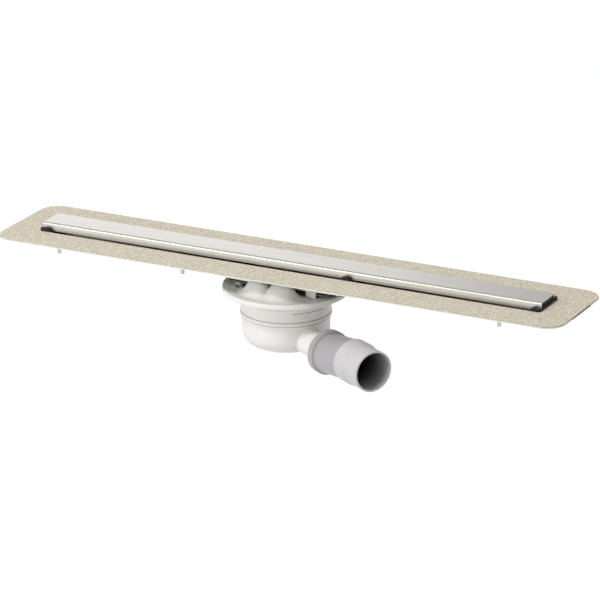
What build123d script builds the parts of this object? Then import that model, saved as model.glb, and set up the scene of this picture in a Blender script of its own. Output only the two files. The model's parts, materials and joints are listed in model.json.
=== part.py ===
"""Linear shower drain: sanded channel, cover bar and low trap with a side outlet.

Millimetres. X runs along the channel, the outlet leaves towards -Y, +Z is up.
The origin is the middle of the flange, at the top of its sanded coat.
"""
import os
from math import cos, pi, radians, sin, sqrt

from build123d import *

os.makedirs("parts", exist_ok=True)

# Channel tray and its coat
flange_length = 750.0
flange_width = 143.0
flange_corner = 25.0
sheet = 1.5
coat_thickness = 0.8
coat_inset = 0.6
flange_end = 40.8
opening_width = 54.0
opening_corner = 4.0
end_depth = 11.0
middle_depth = 22.0

# Cover bar and what carries it
bar_end_gap = 2.0
slot_width = 7.5
bar_rise = 9.6
bar_hem = 0.5
bar_inner_bend = 0.7
support_x = 82.0
end_support_inset = 6.6
ear_radius = 7.0
ear_depth = 2.4
ear_round = 2.0
support_base = 3.2
support_leg = 8.0
bar_plug_height = 4.0
cap_step = 2.8
cap_block = 3.6
cap_block_round = 0.6
cap_wall = 2.0
slip = 0.2

# Fixing pins
pin_radius = 2.5
pin_length = 13.7
pin_end = 82.0
middle_pin_x = 123.0
pin_inset = 21.5
pin_collar_radius = 4.5
pin_collar_height = 1.0
pin_chamfer = 0.5

# Trap: place, neck and outlet plate
trap_x = -9.0
neck_side = 3.0
plate_gap = 2.0
plate_thickness = 2.0
plate_end = 14.0
plate_side = 3.0
plate_corner = 8.0
plate_collar = 6.0
weld_gap = 0.1
screw_ring = 1.8
screw_turn = 17.5
screw_radius = 2.0
screw_proud = 1.0
screw_head_radius = 3.8
screw_head_height = 2.0
screw_clearance = 0.2
thread_clearance = 0.05
boss_radius = 4.8

# Inlet dish
dish_wall = 2.5
cone_spread = 20.0
rim_drop = 3.0
rim_height = 6.0
rim_round = 1.5
cone_height = 9.0
skirt_band = 4.0
brim_width = 17.0
brim_drop = 1.5
floor_drop = 6.0
skirt_wall = 1.9
seal_width = 3.0
neck_lip = 1.5
neck_lip_start = 2.5
neck_lip_rise = 1.0
neck_lip_slope = 1.5
neck_lip_pitch = 5.5
socket_depth = 14.0
throat_depth = 12.0
insert_shelf_height = 2.0
insert_shelf_width = 2.8
hump_angle = 19.0
hump_place = 47.0
hump_gap = 0.16
hump_along = 34.0
hump_across = 23.0
hump_height = 18.0
lock_start = 35.0
lock_span = 45.0
lock_count = 2
lock_slot = 1.3
lock_tooth = 1.4
lock_tooth_span = 10.0
arm_x = 46.0
arm_width = 13.0
arm_thickness = 2.2
arm_nose = 2.4
arm_nose_height = 2.2
arm_window = 6.0
peg_angle = 80.5
peg_span = 3.0
peg_height = 1.2
peg_width = 1.5

# Trap body
body_radius = 54.8
body_wall = 2.5
body_overlap = 5.0
body_band = 11.4
bead_rise = 0.6
bead_height = 5.0
groove_depth = 1.6
groove_width = 1.0
bowl_step = 1.6
shoulder_height = 7.0
bowl_round = 20.0
lug_rise = 1.6
lug_height = 1.5
lug_gap = 0.1
collar_clearance = 0.3
collar_wall = 4.5
collar_depth = 16.5
body_seal_section = 1.25
body_seal_rise = 3.0
squeeze = 0.05

# Outlet
outlet_turn = 59.8
outlet_fall = 1.0
spigot_radius = 16.5
spigot_floor = 1.3
spigot_above_shoulder = 2.3
spigot_root = 2.0
spigot_wall = 2.5
spigot_length = 58.8
socket_overlap = 25.0
socket_length = 71.0
socket_rise = 6.2
socket_collar_rise = 2.4
socket_collar_length = 11.0
socket_collar_round = 1.5
socket_collar_step = 1.2
socket_tube_wall = 2.3
socket_bore_clearance = 0.2
lip_seal_inset = 3.0
lip_seal_length = 7.0
lip_seal_depth = 5.0
lip_seal_wall = 1.8
pipe_overlap = 15.0
pipe_sleeve_wall = 1.6
pipe_sleeve_length = 17.0
pipe_sleeve_taper = 3.0
pipe_clearance = 0.1
pipe_radius = 25.0
pipe_wall = 2.0
pipe_sleeve_step = 0.2
pipe_length = 44.6

# Removable insert
insert_clearance = 0.3
insert_collar_height = 10.0
insert_collar_wall = 3.7
insert_seal_section = 1.2
insert_seal_rise = 5.2
dip_radius = 12.0
dip_wall = 1.5
dip_cone_height = 8.0
cup_floor_gap = 4.9
cup_wall = 1.8
cup_round = 3.0
cup_below_tube = 8.0
cup_post_count = 3
cup_post_span = 26.0
cup_tube_gap = 0.5
strainer_clearance = 0.7
strainer_wall = 1.5
strainer_height = 16.0
strainer_hole = 1.3
strainer_pitch = 3.9
strainer_spacing = 5.0
strainer_first_ring = 6.5
strainer_knob_radius = 3.0
strainer_knob_height = 6.0
neck_end_gap = 0.5

# Places that several pieces share
opening_length = flange_length - 2 * flange_end
bar_length = opening_length - 2 * bar_end_gap
bar_width = opening_width - 2 * slot_width
bar_bend = sheet + bar_inner_bend
run = opening_length / 2 + sheet
half_opening = opening_width / 2
half_bar = bar_width / 2
flange_top = -coat_thickness
flange_bottom = flange_top - sheet
pin_tip = flange_bottom - pin_length
end_support_x = bar_length / 2 - end_support_inset
neck_radius = half_opening - neck_side
plate_top = -middle_depth - plate_gap
plate_bottom = plate_top - plate_thickness
rim_top = plate_top - rim_drop
rim_bottom = rim_top - rim_height
brim_edge = rim_top - brim_drop
floor_top = rim_top - floor_drop
floor_bottom = floor_top - dish_wall
cone_bottom = rim_bottom - cone_height
skirt_bottom = cone_bottom - skirt_band
socket_shelf = plate_bottom - socket_depth
insert_shelf = socket_shelf - throat_depth
neck_end = socket_shelf + neck_end_gap
body_top = skirt_bottom + body_overlap
bead_top = skirt_bottom - body_band
bead_bottom = bead_top - bead_height
bowl_shoulder = bead_bottom - shoulder_height
socket_tube_radius = pipe_radius - pipe_sleeve_step
outlet_z = bowl_shoulder + spigot_above_shoulder - spigot_radius
bowl_bottom = outlet_z - spigot_radius - spigot_floor
collar_bottom = floor_bottom - collar_depth
body_seal_height = collar_bottom + body_seal_rise
neck_bore = neck_radius - sheet
shelf_bore = neck_bore - insert_shelf_width
cup_radius = shelf_bore - slip
socket_bore = neck_radius + seal_width
skirt_bore = body_radius + collar_clearance
skirt_radius = skirt_bore + skirt_wall
rim_radius = skirt_radius + cone_spread
plate_width = opening_width - 2 * plate_side
screw_x = (body_radius + screw_ring) * cos(radians(screw_turn))
screw_y = (body_radius + screw_ring) * sin(radians(screw_turn))
collar_radius = body_radius - body_wall - collar_clearance
trap_section = Plane(origin=(trap_x, 0, 0), x_dir=(1, 0, 0), z_dir=(0, -1, 0))
trap_axis = Axis((trap_x, 0, 0), (0, 0, 1))
outlet_side = Vector(cos(radians(outlet_turn)), sin(radians(outlet_turn)), 0)
outlet_course = Vector(
    sin(radians(outlet_turn)) * cos(radians(outlet_fall)),
    -cos(radians(outlet_turn)) * cos(radians(outlet_fall)),
    -sin(radians(outlet_fall)),
)
outlet_up = outlet_course.cross(outlet_side)
spigot_origin = Vector(trap_x, 0, outlet_z)
pipe_origin = spigot_origin + outlet_up * socket_rise
spigot_plane = Plane(origin=spigot_origin, x_dir=outlet_side, z_dir=outlet_course)
spigot_section = Plane(origin=spigot_origin, x_dir=outlet_side, z_dir=outlet_side.cross(outlet_course))
spigot_axis = Axis(spigot_origin, outlet_course)
pipe_plane = Plane(origin=pipe_origin, x_dir=outlet_side, z_dir=outlet_course)
pipe_section = Plane(origin=pipe_origin, x_dir=outlet_side, z_dir=outlet_side.cross(outlet_course))
pipe_axis = Axis(pipe_origin, outlet_course)


def floor_height(x):
    """Height of the trough's inner floor at a place along the channel."""
    side_run = run - trap_x if x > trap_x else run + trap_x
    share = abs(x - trap_x) / side_run
    return sheet - middle_depth + (middle_depth - end_depth) * share


def trap_plane(height):
    """Horizontal plane through the trap's axis."""
    return Plane(origin=(trap_x, 0, height), x_dir=(1, 0, 0), z_dir=(0, 0, 1))


def ring_sector(inner, outer, low, high, start, span):
    """Part of a ring about the trap's axis, angles counted from -Y towards +X."""
    towards = Vector(sin(radians(start)), -cos(radians(start)), 0)
    with BuildPart() as sector:
        with BuildSketch(Plane(origin=(trap_x, 0, 0), x_dir=towards, z_dir=towards.cross(Vector(0, 0, 1)))):
            with Locations(((inner + outer) / 2, (low + high) / 2)):
                Rectangle(outer - inner, high - low)
        revolve(axis=trap_axis, revolution_arc=span)
    return sector.part


def save(piece, label):
    piece.label = label
    export_step(piece, f"parts/{label}.step")


# Channel tray: flange, trough that falls to the middle, open neck
with BuildPart() as channel_tray:
    with BuildSketch(Plane.XY.offset(flange_bottom)):
        RectangleRounded(flange_length, flange_width, flange_corner)
    extrude(amount=sheet)
    with BuildSketch(Plane.XZ.offset(-half_opening - sheet)):
        with BuildLine():
            Polyline(
                (-run, flange_bottom),
                (run, flange_bottom),
                (run, -end_depth),
                (trap_x, -middle_depth),
                (-run, -end_depth),
                close=True,
            )
        make_face()
    extrude(amount=opening_width + 2 * sheet)
    with BuildSketch(trap_plane(neck_end)):
        Circle(neck_radius)
    extrude(amount=floor_height(trap_x) - neck_end)
    with BuildSketch(Plane.XZ.offset(-half_opening)):
        with BuildLine():
            Polyline(
                (sheet - run, 0),
                (run - sheet, 0),
                (run - sheet, floor_height(run - sheet)),
                (trap_x, floor_height(trap_x)),
                (sheet - run, floor_height(sheet - run)),
                close=True,
            )
        make_face()
    extrude(amount=opening_width, mode=Mode.SUBTRACT)
    with BuildSketch(trap_plane(neck_end)):
        Circle(neck_bore)
    extrude(amount=-end_depth - neck_end, mode=Mode.SUBTRACT)
save(channel_tray.part, "channel_tray")

# Sanded coat on top of the flange, a little inside its edge
with BuildPart() as sand_coat:
    with BuildSketch(Plane.XY.offset(flange_top)):
        RectangleRounded(
            flange_length - 2 * coat_inset, flange_width - 2 * coat_inset, flange_corner - coat_inset
        )
        RectangleRounded(opening_length, opening_width, opening_corner, mode=Mode.SUBTRACT)
    extrude(amount=coat_thickness)
save(sand_coat.part, "sand_coat")

# Cover bar: one sheet folded down at both long sides, open at its ends
with BuildPart() as cover_bar:
    with BuildSketch(Plane.YZ.offset(-bar_length / 2)) as bar_outline:
        with Locations((0, (bar_rise - bar_hem) / 2)):
            Rectangle(bar_width, bar_rise + bar_hem)
        fillet(bar_outline.vertices().group_by(Axis.Y)[-1], radius=bar_bend)
    extrude(amount=bar_length)
    with BuildSketch(Plane.YZ.offset(-bar_length / 2)) as bar_hollow:
        with Locations((0, (bar_rise - sheet - bar_hem) / 2)):
            Rectangle(bar_width - 2 * sheet, bar_rise - sheet + bar_hem)
        fillet(bar_hollow.vertices().group_by(Axis.Y)[-1], radius=bar_bend - sheet)
    extrude(amount=bar_length, mode=Mode.SUBTRACT)
save(cover_bar.part, "cover_bar")


def block(x_low, x_high, y_low, y_high, z_low, z_high):
    """Rectangular block between two corners."""
    with BuildPart() as piece:
        with BuildSketch(Plane.XY.offset(z_low)):
            with Locations(((x_low + x_high) / 2, (y_low + y_high) / 2)):
                Rectangle(x_high - x_low, y_high - y_low)
        extrude(amount=z_high - z_low)
    return piece.part


def foot(x_low, x_high, y_low, y_high):
    """Leg under a support whose underside follows the trough's floor."""
    with BuildPart() as piece:
        with BuildSketch(Plane.XZ.offset(-y_high)):
            with BuildLine():
                Polyline(
                    (x_low, floor_height(x_low) + slip),
                    (x_high, floor_height(x_high) + slip),
                    (x_high, -bar_hem),
                    (x_low, -bar_hem),
                    close=True,
                )
            make_face()
        extrude(amount=y_high - y_low)
    return piece.part


base_bottom = -bar_hem - support_base


def ear(x, side):
    """Half-round bumper between the bar's side and the trough's wall."""
    start = half_bar + slip
    reach = half_opening - slip - start
    with BuildPart() as bumper:
        with BuildSketch(Plane.XZ.offset(-side * start)):
            with Locations((x, -ear_depth)):
                Circle(ear_radius)
            with Locations((x, base_bottom - ear_radius)):
                Rectangle(2 * ear_radius, 2 * ear_radius, mode=Mode.SUBTRACT)
        extrude(amount=-side * reach)
        outer_face = bumper.faces().sort_by(Axis.Y)[0 if side < 0 else -1]
        fillet(outer_face.edges().filter_by(GeomType.CIRCLE), radius=ear_round)
    return bumper.part


# Bar supports: a bridge on two legs, an ear on one side only, turned about for the other
plug_half_width = half_bar - sheet - slip
for label, x, side in (("bar_support_left", -support_x, 1), ("bar_support_right", support_x, -1)):
    x_low = x - ear_radius
    x_high = x + ear_radius
    bridge = block(x_low, x_high, -half_bar, half_bar, base_bottom, -bar_hem)
    shelf_edges = sorted((side * (half_bar - support_leg), side * (half_opening - slip)))
    shelf = block(x_low, x_high, shelf_edges[0], shelf_edges[1], base_bottom, -bar_hem)
    plug = block(x_low, x_high, -plug_half_width, plug_half_width, -bar_hem, bar_plug_height)
    legs = [foot(x_low, x_high, y, y + support_leg) for y in (-half_bar, half_bar - support_leg)]
    bumper = ear(x, side)
    with BuildPart() as bar_support:
        add(bridge)
        add(shelf)
        add(plug)
        add(legs)
        add(bumper)
    save(bar_support.part, label)

# End caps: plug flush with the bar's end, base and step across the opening, a block and an ear in each slot
for label, side in (("end_cap_left", -1), ("end_cap_right", 1)):
    bar_end = side * bar_length / 2
    outer_x = side * (opening_length / 2 - slip)
    inner_x = side * (end_support_x - ear_radius)
    base_x = sorted((inner_x, outer_x))
    plug_x = sorted((inner_x, bar_end))
    step_x = sorted((bar_end, outer_x))
    block_x = sorted((side * end_support_x, outer_x))
    pocket_x = sorted((inner_x, bar_end - side * cap_wall))
    foot_x = sorted((inner_x, side * (end_support_x + ear_radius)))
    half_base = half_opening - slip
    plug_top = bar_rise - sheet - slip
    pocket_half_width = plug_half_width - cap_wall
    base = block(base_x[0], base_x[1], -half_base, half_base, base_bottom, -bar_hem)
    step = block(step_x[0], step_x[1], -half_base, half_base, -bar_hem, cap_step)
    plug = block(plug_x[0], plug_x[1], -plug_half_width, plug_half_width, -bar_hem, plug_top)
    pocket = block(
        pocket_x[0], pocket_x[1], -pocket_half_width, pocket_half_width, -bar_hem, plug_top - cap_wall
    )
    slot_blocks = [
        block(block_x[0], block_x[1], y, y + half_base - half_bar - slip, -bar_hem, cap_block)
        for y in (-half_base, half_bar + slip)
    ]
    legs = [foot(foot_x[0], foot_x[1], y, y + support_leg) for y in (-half_bar, half_bar - support_leg)]
    bumpers = [ear(side * end_support_x, -1), ear(side * end_support_x, 1)]
    with BuildPart() as end_cap:
        add(base)
        add(step)
        add(slot_blocks)
        with BuildSketch(Plane.XY.offset(base_bottom)):
            RectangleRounded(opening_length - 2 * slip, 2 * half_base, opening_corner - slip)
        extrude(amount=cap_block - base_bottom, mode=Mode.INTERSECT)
        fillet(end_cap.edges().group_by(Axis.Z)[-1], radius=cap_block_round)
        add(plug)
        add(legs)
        add(bumpers)
        add(pocket, mode=Mode.SUBTRACT)
    save(end_cap.part, label)

# Fixing pins: welded under the flange, three a side, the middle ones not opposite each other
pin_x = flange_length / 2 - pin_end
pin_y = flange_width / 2 - pin_inset
pin_places = {
    "fixing_pin_front_left": (-pin_x, -pin_y),
    "fixing_pin_front_middle": (-middle_pin_x, -pin_y),
    "fixing_pin_front_right": (pin_x, -pin_y),
    "fixing_pin_back_left": (-pin_x, pin_y),
    "fixing_pin_back_middle": (middle_pin_x, pin_y),
    "fixing_pin_back_right": (pin_x, pin_y),
}
for label, (x, y) in pin_places.items():
    with BuildPart() as fixing_pin:
        with BuildSketch(Plane.XY.offset(flange_bottom)):
            with Locations((x, y)):
                Circle(pin_collar_radius)
        extrude(amount=-pin_collar_height)
        with BuildSketch(Plane.XY.offset(flange_bottom)):
            with Locations((x, y)):
                Circle(pin_radius)
        extrude(amount=pin_tip - flange_bottom)
        chamfer(fixing_pin.edges().sort_by(Axis.Z)[0], length=pin_chamfer)
    save(fixing_pin.part, label)

# Outlet plate: round the neck, under the trough, with a threaded hole for each screw
screw_places = ((-screw_x, -screw_y), (screw_x, screw_y))
plate_length = 2 * (screw_x + plate_end)
with BuildPart() as outlet_plate:
    with BuildSketch(trap_plane(plate_bottom)):
        RectangleRounded(plate_length, plate_width, plate_corner)
        Circle(neck_radius + plate_collar)
        Circle(neck_radius + weld_gap, mode=Mode.SUBTRACT)
        with Locations(*screw_places):
            Circle(screw_radius + thread_clearance, mode=Mode.SUBTRACT)
    extrude(amount=plate_thickness)
save(outlet_plate.part, "outlet_plate")

with BuildPart() as plate_screws:
    with BuildSketch(trap_plane(floor_bottom)):
        with Locations(*screw_places):
            Circle(screw_head_radius)
    extrude(amount=-screw_head_height)
    with BuildSketch(trap_plane(floor_bottom)):
        with Locations(*screw_places):
            Circle(screw_radius)
    extrude(amount=plate_top + screw_proud - floor_bottom)
save(plate_screws.part, "plate_screws")

# Inlet dish: sloping brim, cone and skirt, floor, socket with two shelves, collar with a seal groove
cone_lean = (rim_radius - skirt_radius) / (rim_bottom - cone_bottom)
cone_inset = dish_wall * sqrt(1 + cone_lean**2)
bore_meets_cone = rim_bottom - (rim_radius - cone_inset - skirt_bore) / cone_lean
cone_under_floor = rim_radius - cone_inset - cone_lean * (rim_bottom - floor_bottom)
brim_radius = rim_radius - brim_width
body_groove = collar_radius + collar_clearance - squeeze - 2 * body_seal_section - squeeze
groove_half_height = body_seal_section + 2 * squeeze
throat_radius = neck_bore + dish_wall
socket_radius = socket_bore + dish_wall
with BuildPart() as dish_shell:
    with BuildSketch(trap_section):
        with BuildLine():
            Polyline(
                (rim_radius, rim_top),
                (rim_radius, rim_bottom),
                (skirt_radius, cone_bottom),
                (skirt_radius, skirt_bottom),
                (skirt_bore, skirt_bottom),
                (skirt_bore, bore_meets_cone),
                (cone_under_floor, floor_bottom),
                (collar_radius, floor_bottom),
                (collar_radius, body_seal_height + groove_half_height),
                (body_groove, body_seal_height + groove_half_height),
                (body_groove, body_seal_height - groove_half_height),
                (collar_radius, body_seal_height - groove_half_height),
                (collar_radius, collar_bottom),
                (collar_radius - collar_wall, collar_bottom),
                (collar_radius - collar_wall, floor_bottom),
                (socket_radius, floor_bottom),
                (socket_radius, socket_shelf - dish_wall),
                (throat_radius, socket_shelf - dish_wall),
                (throat_radius, insert_shelf - insert_shelf_height),
                (shelf_bore, insert_shelf - insert_shelf_height),
                (shelf_bore, insert_shelf),
                (neck_bore, insert_shelf),
                (neck_bore, socket_shelf),
                (socket_bore, socket_shelf),
                (socket_bore, plate_bottom),
                (socket_radius, plate_bottom),
                (socket_radius, floor_top),
                (brim_radius, floor_top),
                (brim_radius, brim_edge),
                close=True,
            )
        make_face()
    revolve(axis=trap_axis)
    rim_edges = dish_shell.edges().filter_by(GeomType.CIRCLE).filter_by(
        lambda edge: edge.radius > rim_radius - rim_round
    )
    fillet(rim_edges, radius=rim_round)

hump_ring = collar_radius - collar_wall
wall_face = half_opening + sheet + hump_gap


def hump(inset, low):
    """Bell-shaped hump whose foot runs out flat on the brim, with a solid stem below it."""
    height = hump_height - inset
    across = hump_across - inset
    with BuildPart() as bell:
        with BuildSketch(Plane.XZ):
            with BuildLine():
                Spline(
                    (0, brim_edge + height),
                    (across / 2, brim_edge + height / 2),
                    (across, brim_edge),
                    tangents=((1, 0), (1, 0)),
                )
                Polyline((across, brim_edge), (across, low), (0, low), (0, brim_edge + height))
            make_face()
        revolve(axis=Axis.Z)
    return Pos(0, -hump_place, 0) * scale(bell.part, by=((hump_along - inset) / across, 1, 1))


def beside_trough(side, gap):
    """Space on one side of the trough, clear of its wall by a gap."""
    near = wall_face + gap
    far = near + 2 * rim_radius
    edges = sorted((side * near, side * far))
    return block(trap_x - 2 * rim_radius, trap_x + 2 * rim_radius, edges[0], edges[1], bowl_bottom, 0)


humps = []
hollows = []
with BuildPart() as collar_ring:
    with BuildSketch(trap_plane(collar_bottom)):
        Circle(collar_radius)
        Circle(hump_ring, mode=Mode.SUBTRACT)
    extrude(amount=-collar_bottom)
for side, turn in ((-1, -hump_angle), (-1, hump_angle), (1, 180 - hump_angle), (1, 180 + hump_angle)):
    place = Pos(trap_x, 0, 0) * Rot(0, 0, turn)
    humps.append(place * hump(0, floor_top - dish_wall / 2) & beside_trough(side, 0))
    hollow = place * hump(dish_wall, floor_bottom) & beside_trough(side, dish_wall)
    hollows.append(hollow - collar_ring.part)

lock_starts = [lock_start + 360 / lock_count * i for i in range(lock_count)]
slots = [
    ring_sector(body_radius, rim_radius, skirt_bottom, skirt_bottom + lock_slot, start, lock_span)
    for start in lock_starts
]
teeth = [
    ring_sector(
        skirt_bore,
        skirt_radius,
        skirt_bottom - lock_tooth,
        skirt_bottom,
        start - lock_tooth_span,
        lock_tooth_span,
    )
    for start in lock_starts
]
pegs = [
    ring_sector(
        rim_radius - rim_round - peg_width,
        rim_radius - rim_round,
        rim_top - dish_wall,
        rim_top + peg_height,
        start,
        peg_span,
    )
    for start in (peg_angle, peg_angle + 180)
]

# Snap arms that hook over the outlet plate's long edges, each over a window in the floor
arm_face = plate_width / 2 + slip
arm_top = plate_top + slip + arm_nose_height
with BuildPart() as snap_arm:
    with BuildSketch(Plane.YZ.offset(arm_x - arm_width / 2)):
        with BuildLine():
            Polyline(
                (-arm_face, floor_top - dish_wall / 2),
                (-arm_face, plate_top + slip),
                (-arm_face + arm_nose, plate_top + slip),
                (-arm_face, arm_top),
                (-arm_face - arm_thickness, arm_top),
                (-arm_face - arm_thickness, floor_top - dish_wall / 2),
                close=True,
            )
        make_face()
    extrude(amount=arm_width)
window = block(
    arm_x - arm_width / 2, arm_x + arm_width / 2, -arm_face, arm_window - arm_face, floor_bottom, floor_top
)
arms = [Pos(trap_x, 0, 0) * Rot(0, 0, turn) * snap_arm.part for turn in (0, 180)]
windows = [Pos(trap_x, 0, 0) * Rot(0, 0, turn) * window for turn in (0, 180)]

with BuildPart() as inlet_dish:
    add(dish_shell.part)
    for raised in humps:
        add(raised)
    for hollow in hollows:
        add(hollow, mode=Mode.SUBTRACT)
    with BuildSketch(trap_plane(floor_top)):
        with Locations(*screw_places):
            Circle(boss_radius)
    extrude(amount=plate_bottom - floor_top)
    with BuildSketch(trap_plane(plate_bottom)):
        with Locations(*screw_places):
            Circle(screw_radius + screw_clearance)
    extrude(amount=floor_bottom - plate_bottom, mode=Mode.SUBTRACT)
    add(windows, mode=Mode.SUBTRACT)
    add(arms)
    for slot, tooth in zip(slots, teeth):
        add(slot, mode=Mode.SUBTRACT)
        add(tooth)
    for peg in pegs:
        add(peg)
save(inlet_dish.part, "inlet_dish")

# Neck seal: ring with two lips between the tray's neck and the dish's socket
seal_out = socket_bore - squeeze
seal_in = neck_radius + squeeze
seal_back = seal_out - seal_width / 2
lip_bottom = socket_shelf + neck_lip_start
with BuildPart() as neck_seal:
    with BuildSketch(trap_section):
        with BuildLine():
            Polyline(
                (seal_out, socket_shelf),
                (seal_out, lip_bottom + neck_lip_pitch + neck_lip_rise + neck_lip + neck_lip_slope),
                (seal_back, lip_bottom + neck_lip_pitch + neck_lip_rise + neck_lip + neck_lip_slope),
                (seal_in, lip_bottom + neck_lip_pitch + neck_lip_rise + neck_lip),
                (seal_in, lip_bottom + neck_lip_pitch + neck_lip_rise),
                (seal_back, lip_bottom + neck_lip_pitch),
                (seal_back, lip_bottom + neck_lip_rise + neck_lip + neck_lip_slope),
                (seal_in, lip_bottom + neck_lip_rise + neck_lip),
                (seal_in, lip_bottom + neck_lip_rise),
                (seal_back, lip_bottom),
                (seal_back, socket_shelf),
                close=True,
            )
        make_face()
    revolve(axis=trap_axis)
save(neck_seal.part, "neck_seal")

with BuildPart() as body_seal:
    with BuildSketch(trap_section):
        with Locations((body_groove + squeeze + body_seal_section, body_seal_height)):
            Circle(body_seal_section)
    revolve(axis=trap_axis)
save(body_seal.part, "body_seal")

# Trap body: bayonet cylinder, grooves with a bead between, round bowl and side spigot
body_bore = body_radius - body_wall
bowl_radius = body_radius - bowl_step
bowl_bore = bowl_radius - body_wall
floor_inside = bowl_bottom + body_wall
spigot_end = bowl_radius + spigot_length
round_height = bowl_bottom + bowl_round
lugs = [
    ring_sector(
        body_radius - body_wall / 2,
        body_radius + lug_rise,
        skirt_bottom - lug_gap - lug_height,
        skirt_bottom - lug_gap,
        start,
        lock_span,
    )
    for start in lock_starts
]

with BuildPart() as trap_body:
    with BuildSketch(trap_section):
        with BuildLine():
            Polyline(
                (0, bowl_bottom),
                (0, body_top),
                (body_radius, body_top),
                (body_radius, bead_top),
                (body_radius - groove_depth, bead_top),
                (body_radius - groove_depth, bead_top - groove_width),
                (body_radius + bead_rise, bead_top - groove_width),
                (body_radius + bead_rise, bead_bottom),
                (body_radius - groove_depth, bead_bottom),
                (body_radius - groove_depth, bead_bottom - groove_width),
                (body_radius, bead_bottom - groove_width),
                (bowl_radius, bowl_shoulder),
                (bowl_radius, round_height),
            )
            CenterArc((bowl_radius - bowl_round, round_height), bowl_round, 0, -90)
            Line((bowl_radius - bowl_round, bowl_bottom), (0, bowl_bottom))
        make_face()
    revolve(axis=trap_axis)
    with BuildSketch(spigot_plane.offset(bowl_radius - bowl_round)):
        Circle(spigot_radius)
    extrude(amount=spigot_end - bowl_radius + bowl_round)
    fillet(trap_body.edges(Select.LAST).filter_by(GeomType.BSPLINE), radius=spigot_root)
    with BuildSketch(trap_section):
        with BuildLine():
            Polyline(
                (bowl_radius - bowl_round, floor_inside),
                (0, floor_inside),
                (0, body_top),
                (body_bore, body_top),
                (body_bore, bead_bottom),
                (bowl_bore, bowl_shoulder),
                (bowl_bore, round_height),
            )
            CenterArc((bowl_radius - bowl_round, round_height), bowl_round - body_wall, 0, -90)
        make_face()
    revolve(axis=trap_axis, mode=Mode.SUBTRACT)
    with BuildSketch(spigot_plane):
        Circle(spigot_radius - spigot_wall)
    extrude(amount=spigot_end, mode=Mode.SUBTRACT)
    add(lugs)
save(trap_body.part, "trap_body")

# Dip tube: collar on the dish's shelf, seal groove, cone and tube
insert_radius = neck_bore - insert_clearance
insert_top = insert_shelf + insert_collar_height
insert_bore = insert_radius - insert_collar_wall
insert_groove = neck_bore - squeeze - 2 * insert_seal_section - squeeze
insert_groove_half = insert_seal_section + 2 * squeeze
insert_seal_height = insert_shelf + insert_seal_rise
dip_bore = dip_radius - dip_wall
dip_cone_start = cup_radius - cup_wall - cup_tube_gap
dip_cone_end = insert_shelf - dip_cone_height
dip_end = floor_inside + cup_floor_gap + cup_below_tube
with BuildPart() as dip_tube:
    with BuildSketch(trap_section):
        with BuildLine():
            Polyline(
                (insert_radius, insert_top),
                (insert_radius, insert_seal_height + insert_groove_half),
                (insert_groove, insert_seal_height + insert_groove_half),
                (insert_groove, insert_seal_height - insert_groove_half),
                (insert_radius, insert_seal_height - insert_groove_half),
                (insert_radius, insert_shelf),
                (dip_cone_start, insert_shelf),
                (dip_radius, dip_cone_end),
                (dip_radius, dip_end),
                (dip_bore, dip_end),
                (dip_bore, dip_cone_end),
                (dip_cone_start - dip_wall, insert_shelf),
                (insert_bore, insert_shelf + 2 * dip_wall),
                (insert_bore, insert_top),
                close=True,
            )
        make_face()
    revolve(axis=trap_axis)
save(dip_tube.part, "dip_tube")

with BuildPart() as dip_tube_seal:
    with BuildSketch(trap_section):
        with Locations((insert_groove + squeeze + insert_seal_section, insert_seal_height)):
            Circle(insert_seal_section)
    revolve(axis=trap_axis)
save(dip_tube_seal.part, "dip_tube_seal")

# Trap cup: hangs by its posts from the dip tube's collar
cup_rim = dip_cone_end
cup_bottom = dip_end - cup_below_tube
posts = [
    ring_sector(
        cup_radius - cup_wall, cup_radius, cup_rim, insert_shelf, 360 / cup_post_count * i, cup_post_span
    )
    for i in range(cup_post_count)
]
with BuildPart() as trap_cup:
    with BuildSketch(trap_plane(cup_bottom)):
        Circle(cup_radius)
    extrude(amount=cup_rim - cup_bottom)
    fillet(trap_cup.edges().sort_by(Axis.Z)[0], radius=cup_round)
    with BuildSketch(trap_plane(cup_bottom + cup_wall)):
        Circle(cup_radius - cup_wall)
    extrude(amount=cup_rim - cup_bottom, mode=Mode.SUBTRACT)
    add(posts)
save(trap_cup.part, "trap_cup")

# Hair strainer: ring on the dip tube's collar, pierced plate and a knob to lift it by
strainer_radius = neck_bore - strainer_clearance
strainer_top = insert_top + strainer_height
strainer_reach = strainer_radius - strainer_wall - strainer_hole - strainer_first_ring
strainer_rings = [
    strainer_first_ring + strainer_pitch * i for i in range(int(strainer_reach / strainer_pitch) + 1)
]
with BuildPart() as hair_strainer:
    with BuildSketch(trap_plane(insert_top)):
        Circle(strainer_radius)
        Circle(strainer_radius - strainer_wall, mode=Mode.SUBTRACT)
    extrude(amount=strainer_top - insert_top)
    with BuildSketch(trap_plane(strainer_top - strainer_wall)):
        Circle(strainer_radius)
        for ring_radius in strainer_rings:
            with PolarLocations(ring_radius, round(2 * pi * ring_radius / strainer_spacing)):
                Circle(strainer_hole, mode=Mode.SUBTRACT)
    extrude(amount=strainer_wall)
    with BuildSketch(trap_plane(strainer_top)):
        Circle(strainer_knob_radius)
    extrude(amount=strainer_knob_height)
save(hair_strainer.part, "hair_strainer")

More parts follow.
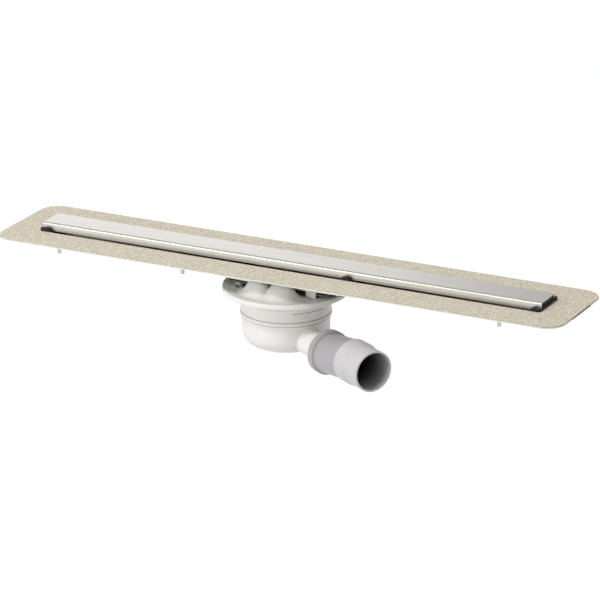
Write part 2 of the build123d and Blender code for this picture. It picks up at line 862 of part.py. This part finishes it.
# Outlet socket: collar with a seal groove over the spigot, and a tube that climbs to the pipe's axis
socket_start = spigot_end - socket_overlap
socket_end = socket_start + socket_length
pipe_start = socket_end - pipe_overlap
socket_collar_radius = socket_tube_radius + socket_collar_rise
collar_end = socket_start + socket_collar_length
lip_seal_start = socket_start + lip_seal_inset
lip_seal_end = lip_seal_start + lip_seal_length
seal_groove = spigot_radius + lip_seal_depth
tube_start = lip_seal_end + socket_tube_wall
tube_bore = socket_tube_radius - socket_tube_wall
tube_start_rise = socket_rise * (tube_start - collar_end) / (pipe_start - collar_end)
tube_origin = spigot_origin + outlet_course * tube_start + outlet_up * tube_start_rise
tube_plane = Plane(origin=tube_origin, x_dir=outlet_side, z_dir=outlet_course)
with BuildPart() as outlet_socket:
    with BuildSketch(spigot_section):
        with BuildLine():
            Polyline(
                (0, socket_start),
                (socket_collar_radius - socket_collar_round, socket_start),
                (socket_collar_radius, socket_start + socket_collar_round),
                (socket_collar_radius, collar_end - socket_collar_step),
                (socket_tube_radius, collar_end),
                (0, collar_end),
                close=True,
            )
        make_face()
    revolve(axis=spigot_axis)
    with BuildSketch(spigot_plane.offset(collar_end)):
        Circle(socket_tube_radius)
    with BuildSketch(pipe_plane.offset(pipe_start)):
        Circle(socket_tube_radius)
    loft()
    with BuildSketch(pipe_plane.offset(pipe_start)):
        Circle(socket_tube_radius)
    extrude(amount=socket_end - pipe_start)
    with BuildSketch(tube_plane):
        Circle(tube_bore)
    with BuildSketch(pipe_plane.offset(pipe_start)):
        Circle(tube_bore)
    loft(mode=Mode.SUBTRACT)
    with BuildSketch(pipe_plane.offset(pipe_start)):
        Circle(tube_bore)
    extrude(amount=socket_end - pipe_start, mode=Mode.SUBTRACT)
    with BuildSketch(spigot_plane.offset(socket_start)):
        Circle(spigot_radius + socket_bore_clearance)
    extrude(amount=tube_start - socket_start, mode=Mode.SUBTRACT)
    with BuildSketch(spigot_plane.offset(lip_seal_start)):
        Circle(seal_groove)
    extrude(amount=lip_seal_length, mode=Mode.SUBTRACT)
save(outlet_socket.part, "outlet_socket")

with BuildPart() as outlet_lip_seal:
    lip_start = lip_seal_start + squeeze
    lip_end = lip_seal_end - squeeze
    lip_out = seal_groove - squeeze
    lip_in = spigot_radius + squeeze
    lip_back = lip_out - lip_seal_wall
    with BuildSketch(spigot_section):
        with BuildLine():
            Polyline(
                (lip_out, lip_start),
                (lip_out, lip_end),
                (lip_back, lip_end),
                (lip_in, lip_end - lip_seal_wall),
                (lip_in, lip_end - 2 * lip_seal_wall),
                (lip_back, lip_start + lip_seal_wall),
                (lip_back, lip_start),
                close=True,
            )
        make_face()
    revolve(axis=spigot_axis)
save(outlet_lip_seal.part, "outlet_lip_seal")

# Outlet pipe end: short sleeve over the socket's tube, then the plain pipe
pipe_end = pipe_start + pipe_length
pipe_bore = socket_tube_radius + pipe_clearance
pipe_sleeve_radius = pipe_bore + pipe_sleeve_wall
pipe_sleeve_end = pipe_start + pipe_sleeve_length
with BuildPart() as outlet_pipe:
    with BuildSketch(pipe_section):
        with BuildLine():
            Polyline(
                (pipe_bore, pipe_start),
                (pipe_sleeve_radius, pipe_start),
                (pipe_sleeve_radius, pipe_sleeve_end),
                (pipe_radius, pipe_sleeve_end + pipe_sleeve_taper),
                (pipe_radius, pipe_end),
                (pipe_radius - pipe_wall, pipe_end),
                (pipe_radius - pipe_wall, socket_end + slip),
                (pipe_bore, socket_end + slip),
                close=True,
            )
        make_face()
    revolve(axis=pipe_axis)
save(outlet_pipe.part, "outlet_pipe")
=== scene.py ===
"""Linear shower drain: sanded channel under a brushed cover bar, white trap, grey side outlet."""
import json
import math

import bpy
from mathutils import Matrix, Vector

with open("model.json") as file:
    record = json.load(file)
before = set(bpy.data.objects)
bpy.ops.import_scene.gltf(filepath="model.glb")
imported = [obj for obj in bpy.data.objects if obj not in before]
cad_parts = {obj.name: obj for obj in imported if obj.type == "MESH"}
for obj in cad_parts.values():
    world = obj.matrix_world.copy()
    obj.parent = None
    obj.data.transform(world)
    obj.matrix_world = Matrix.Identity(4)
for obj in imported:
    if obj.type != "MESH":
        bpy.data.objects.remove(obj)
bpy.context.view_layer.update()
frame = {"nodes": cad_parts, "record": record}
scene = bpy.context.scene
nodes = frame["nodes"]

# Camera, as the photograph sees the drain: degrees, then millimetres, then metres
AZIMUTH = 26.65
ELEVATION = 19.453
LENS = 247.19
SENSOR = 36
DISTANCE = 4.9308
ASIDE = -0.00866
ABOVE = 0.04317
NEAREST = 0.1
FARTHEST = 60

# Outlet, metres: a point on its axis, its course, and its climb from the collar to the pipe. These
# place the painted shade inside its bore
OUTLET_POINT = (-0.009, 0.0, -0.0836)
OUTLET_COURSE = (0.8642, -0.5029, -0.0175)
OUTLET_CLIMB = 0.0062
# Places along its course from that point, and the radius of its bore
COLLAR_START = 0.0875
COLLAR_END = 0.098
PIPE_START = 0.143
PIPE_END = 0.1876
PIPE_BORE = 0.0236

# Tray, metres: half the width of its stripe of painted shade, which takes in the trough's inner
# walls
TROUGH_HALF = 0.0277

# Floor, metres: its height and size. Then the share of glow that the camera sees in it,
# and the strength of that glow
FLOOR = -0.2
FLOOR_SIZE = 40
GLOW_SHARE = 0.9
GLOW = 1.08

# Room's own light, as a share of white
ROOM = 0.42

azimuth = math.radians(AZIMUTH)
elevation = math.radians(ELEVATION)
back = Vector((
    math.sin(azimuth) * math.cos(elevation),
    -math.cos(azimuth) * math.cos(elevation),
    math.sin(elevation),
))
right = Vector((math.cos(azimuth), math.sin(azimuth), 0))
up = back.cross(right)
camera_data = bpy.data.cameras.new("camera")
camera_data.sensor_width = SENSOR
camera_data.lens = LENS
camera_data.clip_start = NEAREST
camera_data.clip_end = FARTHEST
camera = bpy.data.objects.new("camera", camera_data)
scene.collection.objects.link(camera)
place = back * DISTANCE - right * ASIDE - up * ABOVE
turn = Matrix((right, up, back)).transposed()
camera.matrix_world = Matrix.Translation(place) @ turn.to_4x4()
scene.camera = camera
scene.view_settings.view_transform = "Standard"


class Maker:
    """Builds one node material, a node at a time."""

    def __init__(self, name, **shader):
        self.material = bpy.data.materials.new(name)
        self.material.use_nodes = True
        self.tree = self.material.node_tree
        self.shader = self.tree.nodes["Principled BSDF"]
        for key, value in shader.items():
            self.shader.inputs[key.replace("_", " ")].default_value = value
        self.place = self.node("ShaderNodeTexCoord").outputs["Object"]

    def node(self, kind, **settings):
        made = self.tree.nodes.new(kind)
        for key, value in settings.items():
            setattr(made, key, value)
        return made

    def put(self, value, socket):
        """Join a socket to another node's output, or give it a constant."""
        if isinstance(value, bpy.types.NodeSocket):
            self.tree.links.new(value, socket)
        elif socket.type == "RGBA":
            socket.default_value = (*value, 1)
        else:
            socket.default_value = value

    def stretched(self, scale):
        mapping = self.node("ShaderNodeMapping")
        self.put(scale, mapping.inputs["Scale"])
        self.put(self.place, mapping.inputs["Vector"])
        return mapping.outputs["Vector"]

    def noise(self, scale, detail, roughness=0.5, vector=None):
        made = self.node("ShaderNodeTexNoise")
        self.put(scale, made.inputs["Scale"])
        self.put(detail, made.inputs["Detail"])
        self.put(roughness, made.inputs["Roughness"])
        self.put(vector or self.place, made.inputs["Vector"])
        return made.outputs["Fac"]

    def cells(self, scale):
        made = self.node("ShaderNodeTexVoronoi")
        self.put(scale, made.inputs["Scale"])
        self.put(self.place, made.inputs["Vector"])
        return made

    def ramp(self, value, stops):
        made = self.node("ShaderNodeValToRGB")
        band = made.color_ramp
        while len(band.elements) < len(stops):
            band.elements.new(0.5)
        for element, (position, colour) in zip(band.elements, stops):
            element.position = position
            element.color = (*colour, 1)
        self.put(value, made.inputs["Fac"])
        return made.outputs["Color"]

    def spread(self, value, low, high, start=0.3, end=0.7):
        """Low at start and high at end. Noise seldom leaves 0.3 to 0.7."""
        made = self.node("ShaderNodeMapRange")
        self.put(start, made.inputs["From Min"])
        self.put(end, made.inputs["From Max"])
        self.put(low, made.inputs["To Min"])
        self.put(high, made.inputs["To Max"])
        self.put(value, made.inputs["Value"])
        return made.outputs["Result"]

    def mixed(self, share, first, second):
        made = self.node("ShaderNodeMix", data_type="RGBA")
        # Of a Mix node's sockets, input 0 is the share, and inputs 6 and 7 and output 2 are colours
        for value, socket in ((share, 0), (first, 6), (second, 7)):
            self.put(value, made.inputs[socket])
        return made.outputs[2]

    def math(self, operation, *values):
        made = self.node("ShaderNodeMath", operation=operation)
        for value, socket in zip(values, made.inputs):
            self.put(value, socket)
        return made.outputs["Value"]

    def vector(self, operation, *values):
        made = self.node("ShaderNodeVectorMath", operation=operation)
        for value, socket in zip(values, made.inputs):
            self.put(value, socket)
        return made.outputs["Value" if operation in ("DOT_PRODUCT", "LENGTH") else "Vector"]

    def axis(self, name):
        made = self.node("ShaderNodeSeparateXYZ")
        self.put(self.place, made.inputs["Vector"])
        return made.outputs[name]

    def painted_bore_shade(self, depth):
        """Share of painted shade: 0 outside the outlet's bore, growing to 1 at a depth inside its
        mouth.
        """
        out = self.vector("SUBTRACT", self.place, OUTLET_POINT)
        along = self.vector("DOT_PRODUCT", out, OUTLET_COURSE)
        climb = self.node("ShaderNodeCombineXYZ")
        self.put(self.spread(along, 0.0, OUTLET_CLIMB, COLLAR_END, PIPE_START), climb.inputs["Z"])
        centred = self.vector("SUBTRACT", out, climb.outputs["Vector"])
        radius = self.vector("LENGTH", self.vector("CROSS_PRODUCT", centred, OUTLET_COURSE))
        inside = self.math("LESS_THAN", radius, PIPE_BORE)
        inside = self.math("MULTIPLY", inside, self.math("GREATER_THAN", along, COLLAR_START))
        growing = self.spread(along, 1.0, 0.0, PIPE_END - depth, PIPE_END)
        return self.math("MULTIPLY", inside, growing)

    def bump(self, height, distance, strength, under=None):
        made = self.node("ShaderNodeBump")
        self.put(distance, made.inputs["Distance"])
        self.put(strength, made.inputs["Strength"])
        self.put(height, made.inputs["Height"])
        if under:
            self.put(under, made.inputs["Normal"])
        return made.outputs["Normal"]

    def colour(self, value):
        self.put(value, self.shader.inputs["Base Color"])

    def rough(self, value):
        self.put(value, self.shader.inputs["Roughness"])

    def normal(self, value):
        self.put(value, self.shader.inputs["Normal"])


def linear(*levels):
    """Display levels out of 255 as linear colour."""
    shares = [level / 255 for level in levels]
    return tuple(v / 12.92 if v <= 0.04045 else ((v + 0.055) / 1.055) ** 2.4 for v in shares)


def dimmed(colour, share):
    return tuple(share * v for v in colour)


def sand():
    """Bonded quartz sand: grains of one to three millimetres in creams and browns."""
    m = Maker("sand", Roughness=0.95, Specular_IOR_Level=0.2)
    grain = m.noise(560, detail=4, roughness=0.75)
    patch = m.noise(60, detail=3)
    speck = m.cells(600)
    body = m.ramp(grain, [
        (0.38, linear(128, 115, 90)),
        (0.47, linear(200, 190, 168)),
        (0.54, linear(220, 212, 195)),
        (0.62, linear(252, 249, 240)),
    ])
    tint = m.ramp(m.spread(speck.outputs["Color"], 0.0, 1.0, start=0.0, end=1.0), [
        (0.0, linear(150, 134, 104)),
        (0.4, linear(208, 199, 180)),
        (0.7, linear(230, 224, 208)),
        (1.0, linear(255, 253, 248)),
    ])
    blended = m.mixed(0.5, body, tint)
    m.colour(m.mixed(m.spread(patch, 0.0, 0.16), blended, linear(198, 186, 160)))
    fine = m.bump(speck.outputs["Distance"], distance=0.0005, strength=0.5)
    m.normal(m.bump(grain, distance=0.0006, strength=0.5, under=fine))
    return m.material


def brushed(m, levels, along, coarse, across, low, high, depth):
    """
    Brushed steel whose streaks run along X: returns its tone, and sets its roughness and relief.
    along and across are the streaks' scales, and coarse is that of a faint cloudiness.
    """
    streak = m.noise(1.0, detail=4, roughness=0.6, vector=m.stretched((along, across, across)))
    cloud = m.noise(coarse, detail=2)
    bright = linear(*levels)
    dark = dimmed(bright, 0.9)
    tone = m.ramp(streak, [(0.30, dark), (0.70, bright)])
    m.rough(m.spread(streak, low, high))
    m.normal(m.bump(streak, distance=depth, strength=0.6))
    return m.mixed(m.spread(cloud, 0.0, 0.12), tone, dark)


def steel(name, **finish):
    m = Maker(name, Metallic=1.0)
    m.colour(brushed(m, **finish))
    return m.material


def tray_steel():
    """
    The tray's steel, with a dull darker stripe of painted shade along its middle. The painted shade
    is for the trough's inside, but the stripe also crosses its underside and the flange's two ends.
    """
    m = Maker("tray_steel", Metallic=1.0)
    bright = brushed(
        m, levels=(226, 225, 221), along=60, coarse=25, across=700,
        low=0.34, high=0.46, depth=0.00002,
    )
    # Painted shade for the trough's inside: a darker brownish grey in a stripe along the middle
    trough_shade_stripe = m.math("LESS_THAN", m.math("ABSOLUTE", m.axis("Y")), TROUGH_HALF)
    trough_shade = m.ramp(m.noise(90, detail=4), [
        (0.35, linear(104, 96, 84)),
        (0.65, linear(142, 132, 116)),
    ])
    m.colour(m.mixed(trough_shade_stripe, bright, trough_shade))
    return m.material


def moulded(name, levels, low, high, sheen=0.45, wear=0.04, bore_shade_depth=None):
    """
    Moulded plastic: faint cloudiness down to a share wear darker, fine skin and a soft sheen.
    Where a depth is given, painted shade darkens the inside of the outlet over that depth, as if no
    light got in.
    """
    m = Maker(name, Specular_IOR_Level=sheen)
    cloud = m.noise(28, detail=3)
    skin = m.noise(1600, detail=2)
    base = linear(*levels)
    tone = m.mixed(m.spread(cloud, 0.0, 1.0), base, dimmed(base, 1 - wear))
    if bore_shade_depth:
        # Painted shade: near black deep inside the outlet's bore, fading out towards its mouth
        tone = m.mixed(m.painted_bore_shade(bore_shade_depth), tone, linear(10, 8, 8))
    m.colour(tone)
    m.rough(m.spread(m.noise(90, detail=3), low, high))
    m.normal(m.bump(skin, distance=0.00004, strength=0.4))
    return m.material


def rubber():
    m = Maker("seal_rubber")
    cloud = m.noise(120, detail=3)
    m.colour(m.mixed(m.spread(cloud, 0.0, 1.0), linear(34, 33, 34), linear(48, 46, 47)))
    m.rough(m.spread(m.noise(400, detail=2), 0.55, 0.75))
    m.normal(m.bump(m.noise(2200, detail=2), distance=0.00005, strength=0.5))
    return m.material


finishes = {
    "sand": sand(),
    "tray_steel": tray_steel(),
    "bar_steel": steel(
        "bar_steel", levels=(246, 243, 238), along=9, coarse=18, across=1300,
        low=0.34, high=0.48, depth=0.00014,
    ),
    "pin_steel": steel(
        "pin_steel", levels=(205, 206, 208), along=600, coarse=40, across=600,
        low=0.22, high=0.32, depth=0.00002,
    ),
    "white_plastic": moulded("white_plastic", (233, 232, 228), low=0.34, high=0.44, wear=0.03),
    "socket_plastic": moulded(
        "socket_plastic", (172, 168, 171), low=0.32, high=0.42, wear=0.05, bore_shade_depth=0.05
    ),
    "pipe_plastic": moulded("pipe_plastic", (202, 200, 201), low=0.30, high=0.40, bore_shade_depth=0.045),
    "black_plastic": moulded(
        "black_plastic", (30, 24, 27), low=0.38, high=0.5, sheen=0.35, wear=0.25
    ),
    "seal_rubber": rubber(),
}
for part in frame["record"]["subparts"]:
    node = nodes[part["node"]]
    node.data.materials.clear()
    node.data.materials.append(finishes[part["material_slot"]])

# Floor: a pale one that takes shadows, mixed with a white glow for the camera and for reflections
bpy.ops.mesh.primitive_plane_add(size=FLOOR_SIZE, location=(0, 0, FLOOR))
floor = bpy.context.object
floor.name = "floor"
m = Maker("floor", Roughness=0.9, Specular_IOR_Level=0.0)
cloud = m.noise(6, detail=2)
m.colour(m.mixed(m.spread(cloud, 0.0, 1.0), (0.80, 0.80, 0.80), (0.78, 0.78, 0.78)))
ray = m.node("ShaderNodeLightPath").outputs
seen = m.math("MAXIMUM", ray["Is Camera Ray"], ray["Is Glossy Ray"])
glow = m.node("ShaderNodeEmission")
m.put(GLOW, glow.inputs["Strength"])
blend = m.node("ShaderNodeMixShader")
m.put(m.math("MULTIPLY", seen, GLOW_SHARE), blend.inputs[0])
m.put(m.shader.outputs["BSDF"], blend.inputs[1])
m.put(glow.outputs["Emission"], blend.inputs[2])
m.put(blend.outputs["Shader"], m.tree.nodes["Material Output"].inputs["Surface"])
floor.data.materials.append(m.material)

# Light: an even room, a small key lamp high in front and a wide one overhead, both kept out of
# reflections, then a wide card low behind on the left and another low in front
world = bpy.data.worlds.new("world")
scene.world = world
world.use_nodes = True
background = world.node_tree.nodes["Background"]
background.inputs["Color"].default_value = (1, 1, 1, 1)
background.inputs["Strength"].default_value = ROOM


def lamp(name, place, size, power, reflected=True):
    """An area lamp in metres and watts that faces the origin."""
    data = bpy.data.lights.new(name, "AREA")
    data.shape = "RECTANGLE"
    data.size, data.size_y = size
    data.energy = power
    made = bpy.data.objects.new(name, data)
    scene.collection.objects.link(made)
    made.location = place
    made.rotation_euler = (-Vector(place)).to_track_quat("-Z", "Y").to_euler()
    made.visible_glossy = reflected


lamp("key", place=(-0.5, -1.5, 2.0), size=(0.5, 0.5), power=24, reflected=False)
lamp("top", place=(0, 0.3, 2.2), size=(2, 2), power=14, reflected=False)
lamp("card", place=(-1.57, 2.0, 0.85), size=(1.65, 1.2), power=5.5)
lamp("front", place=(-1.2, -2.4, 0.5), size=(1.6, 1.0), power=24)
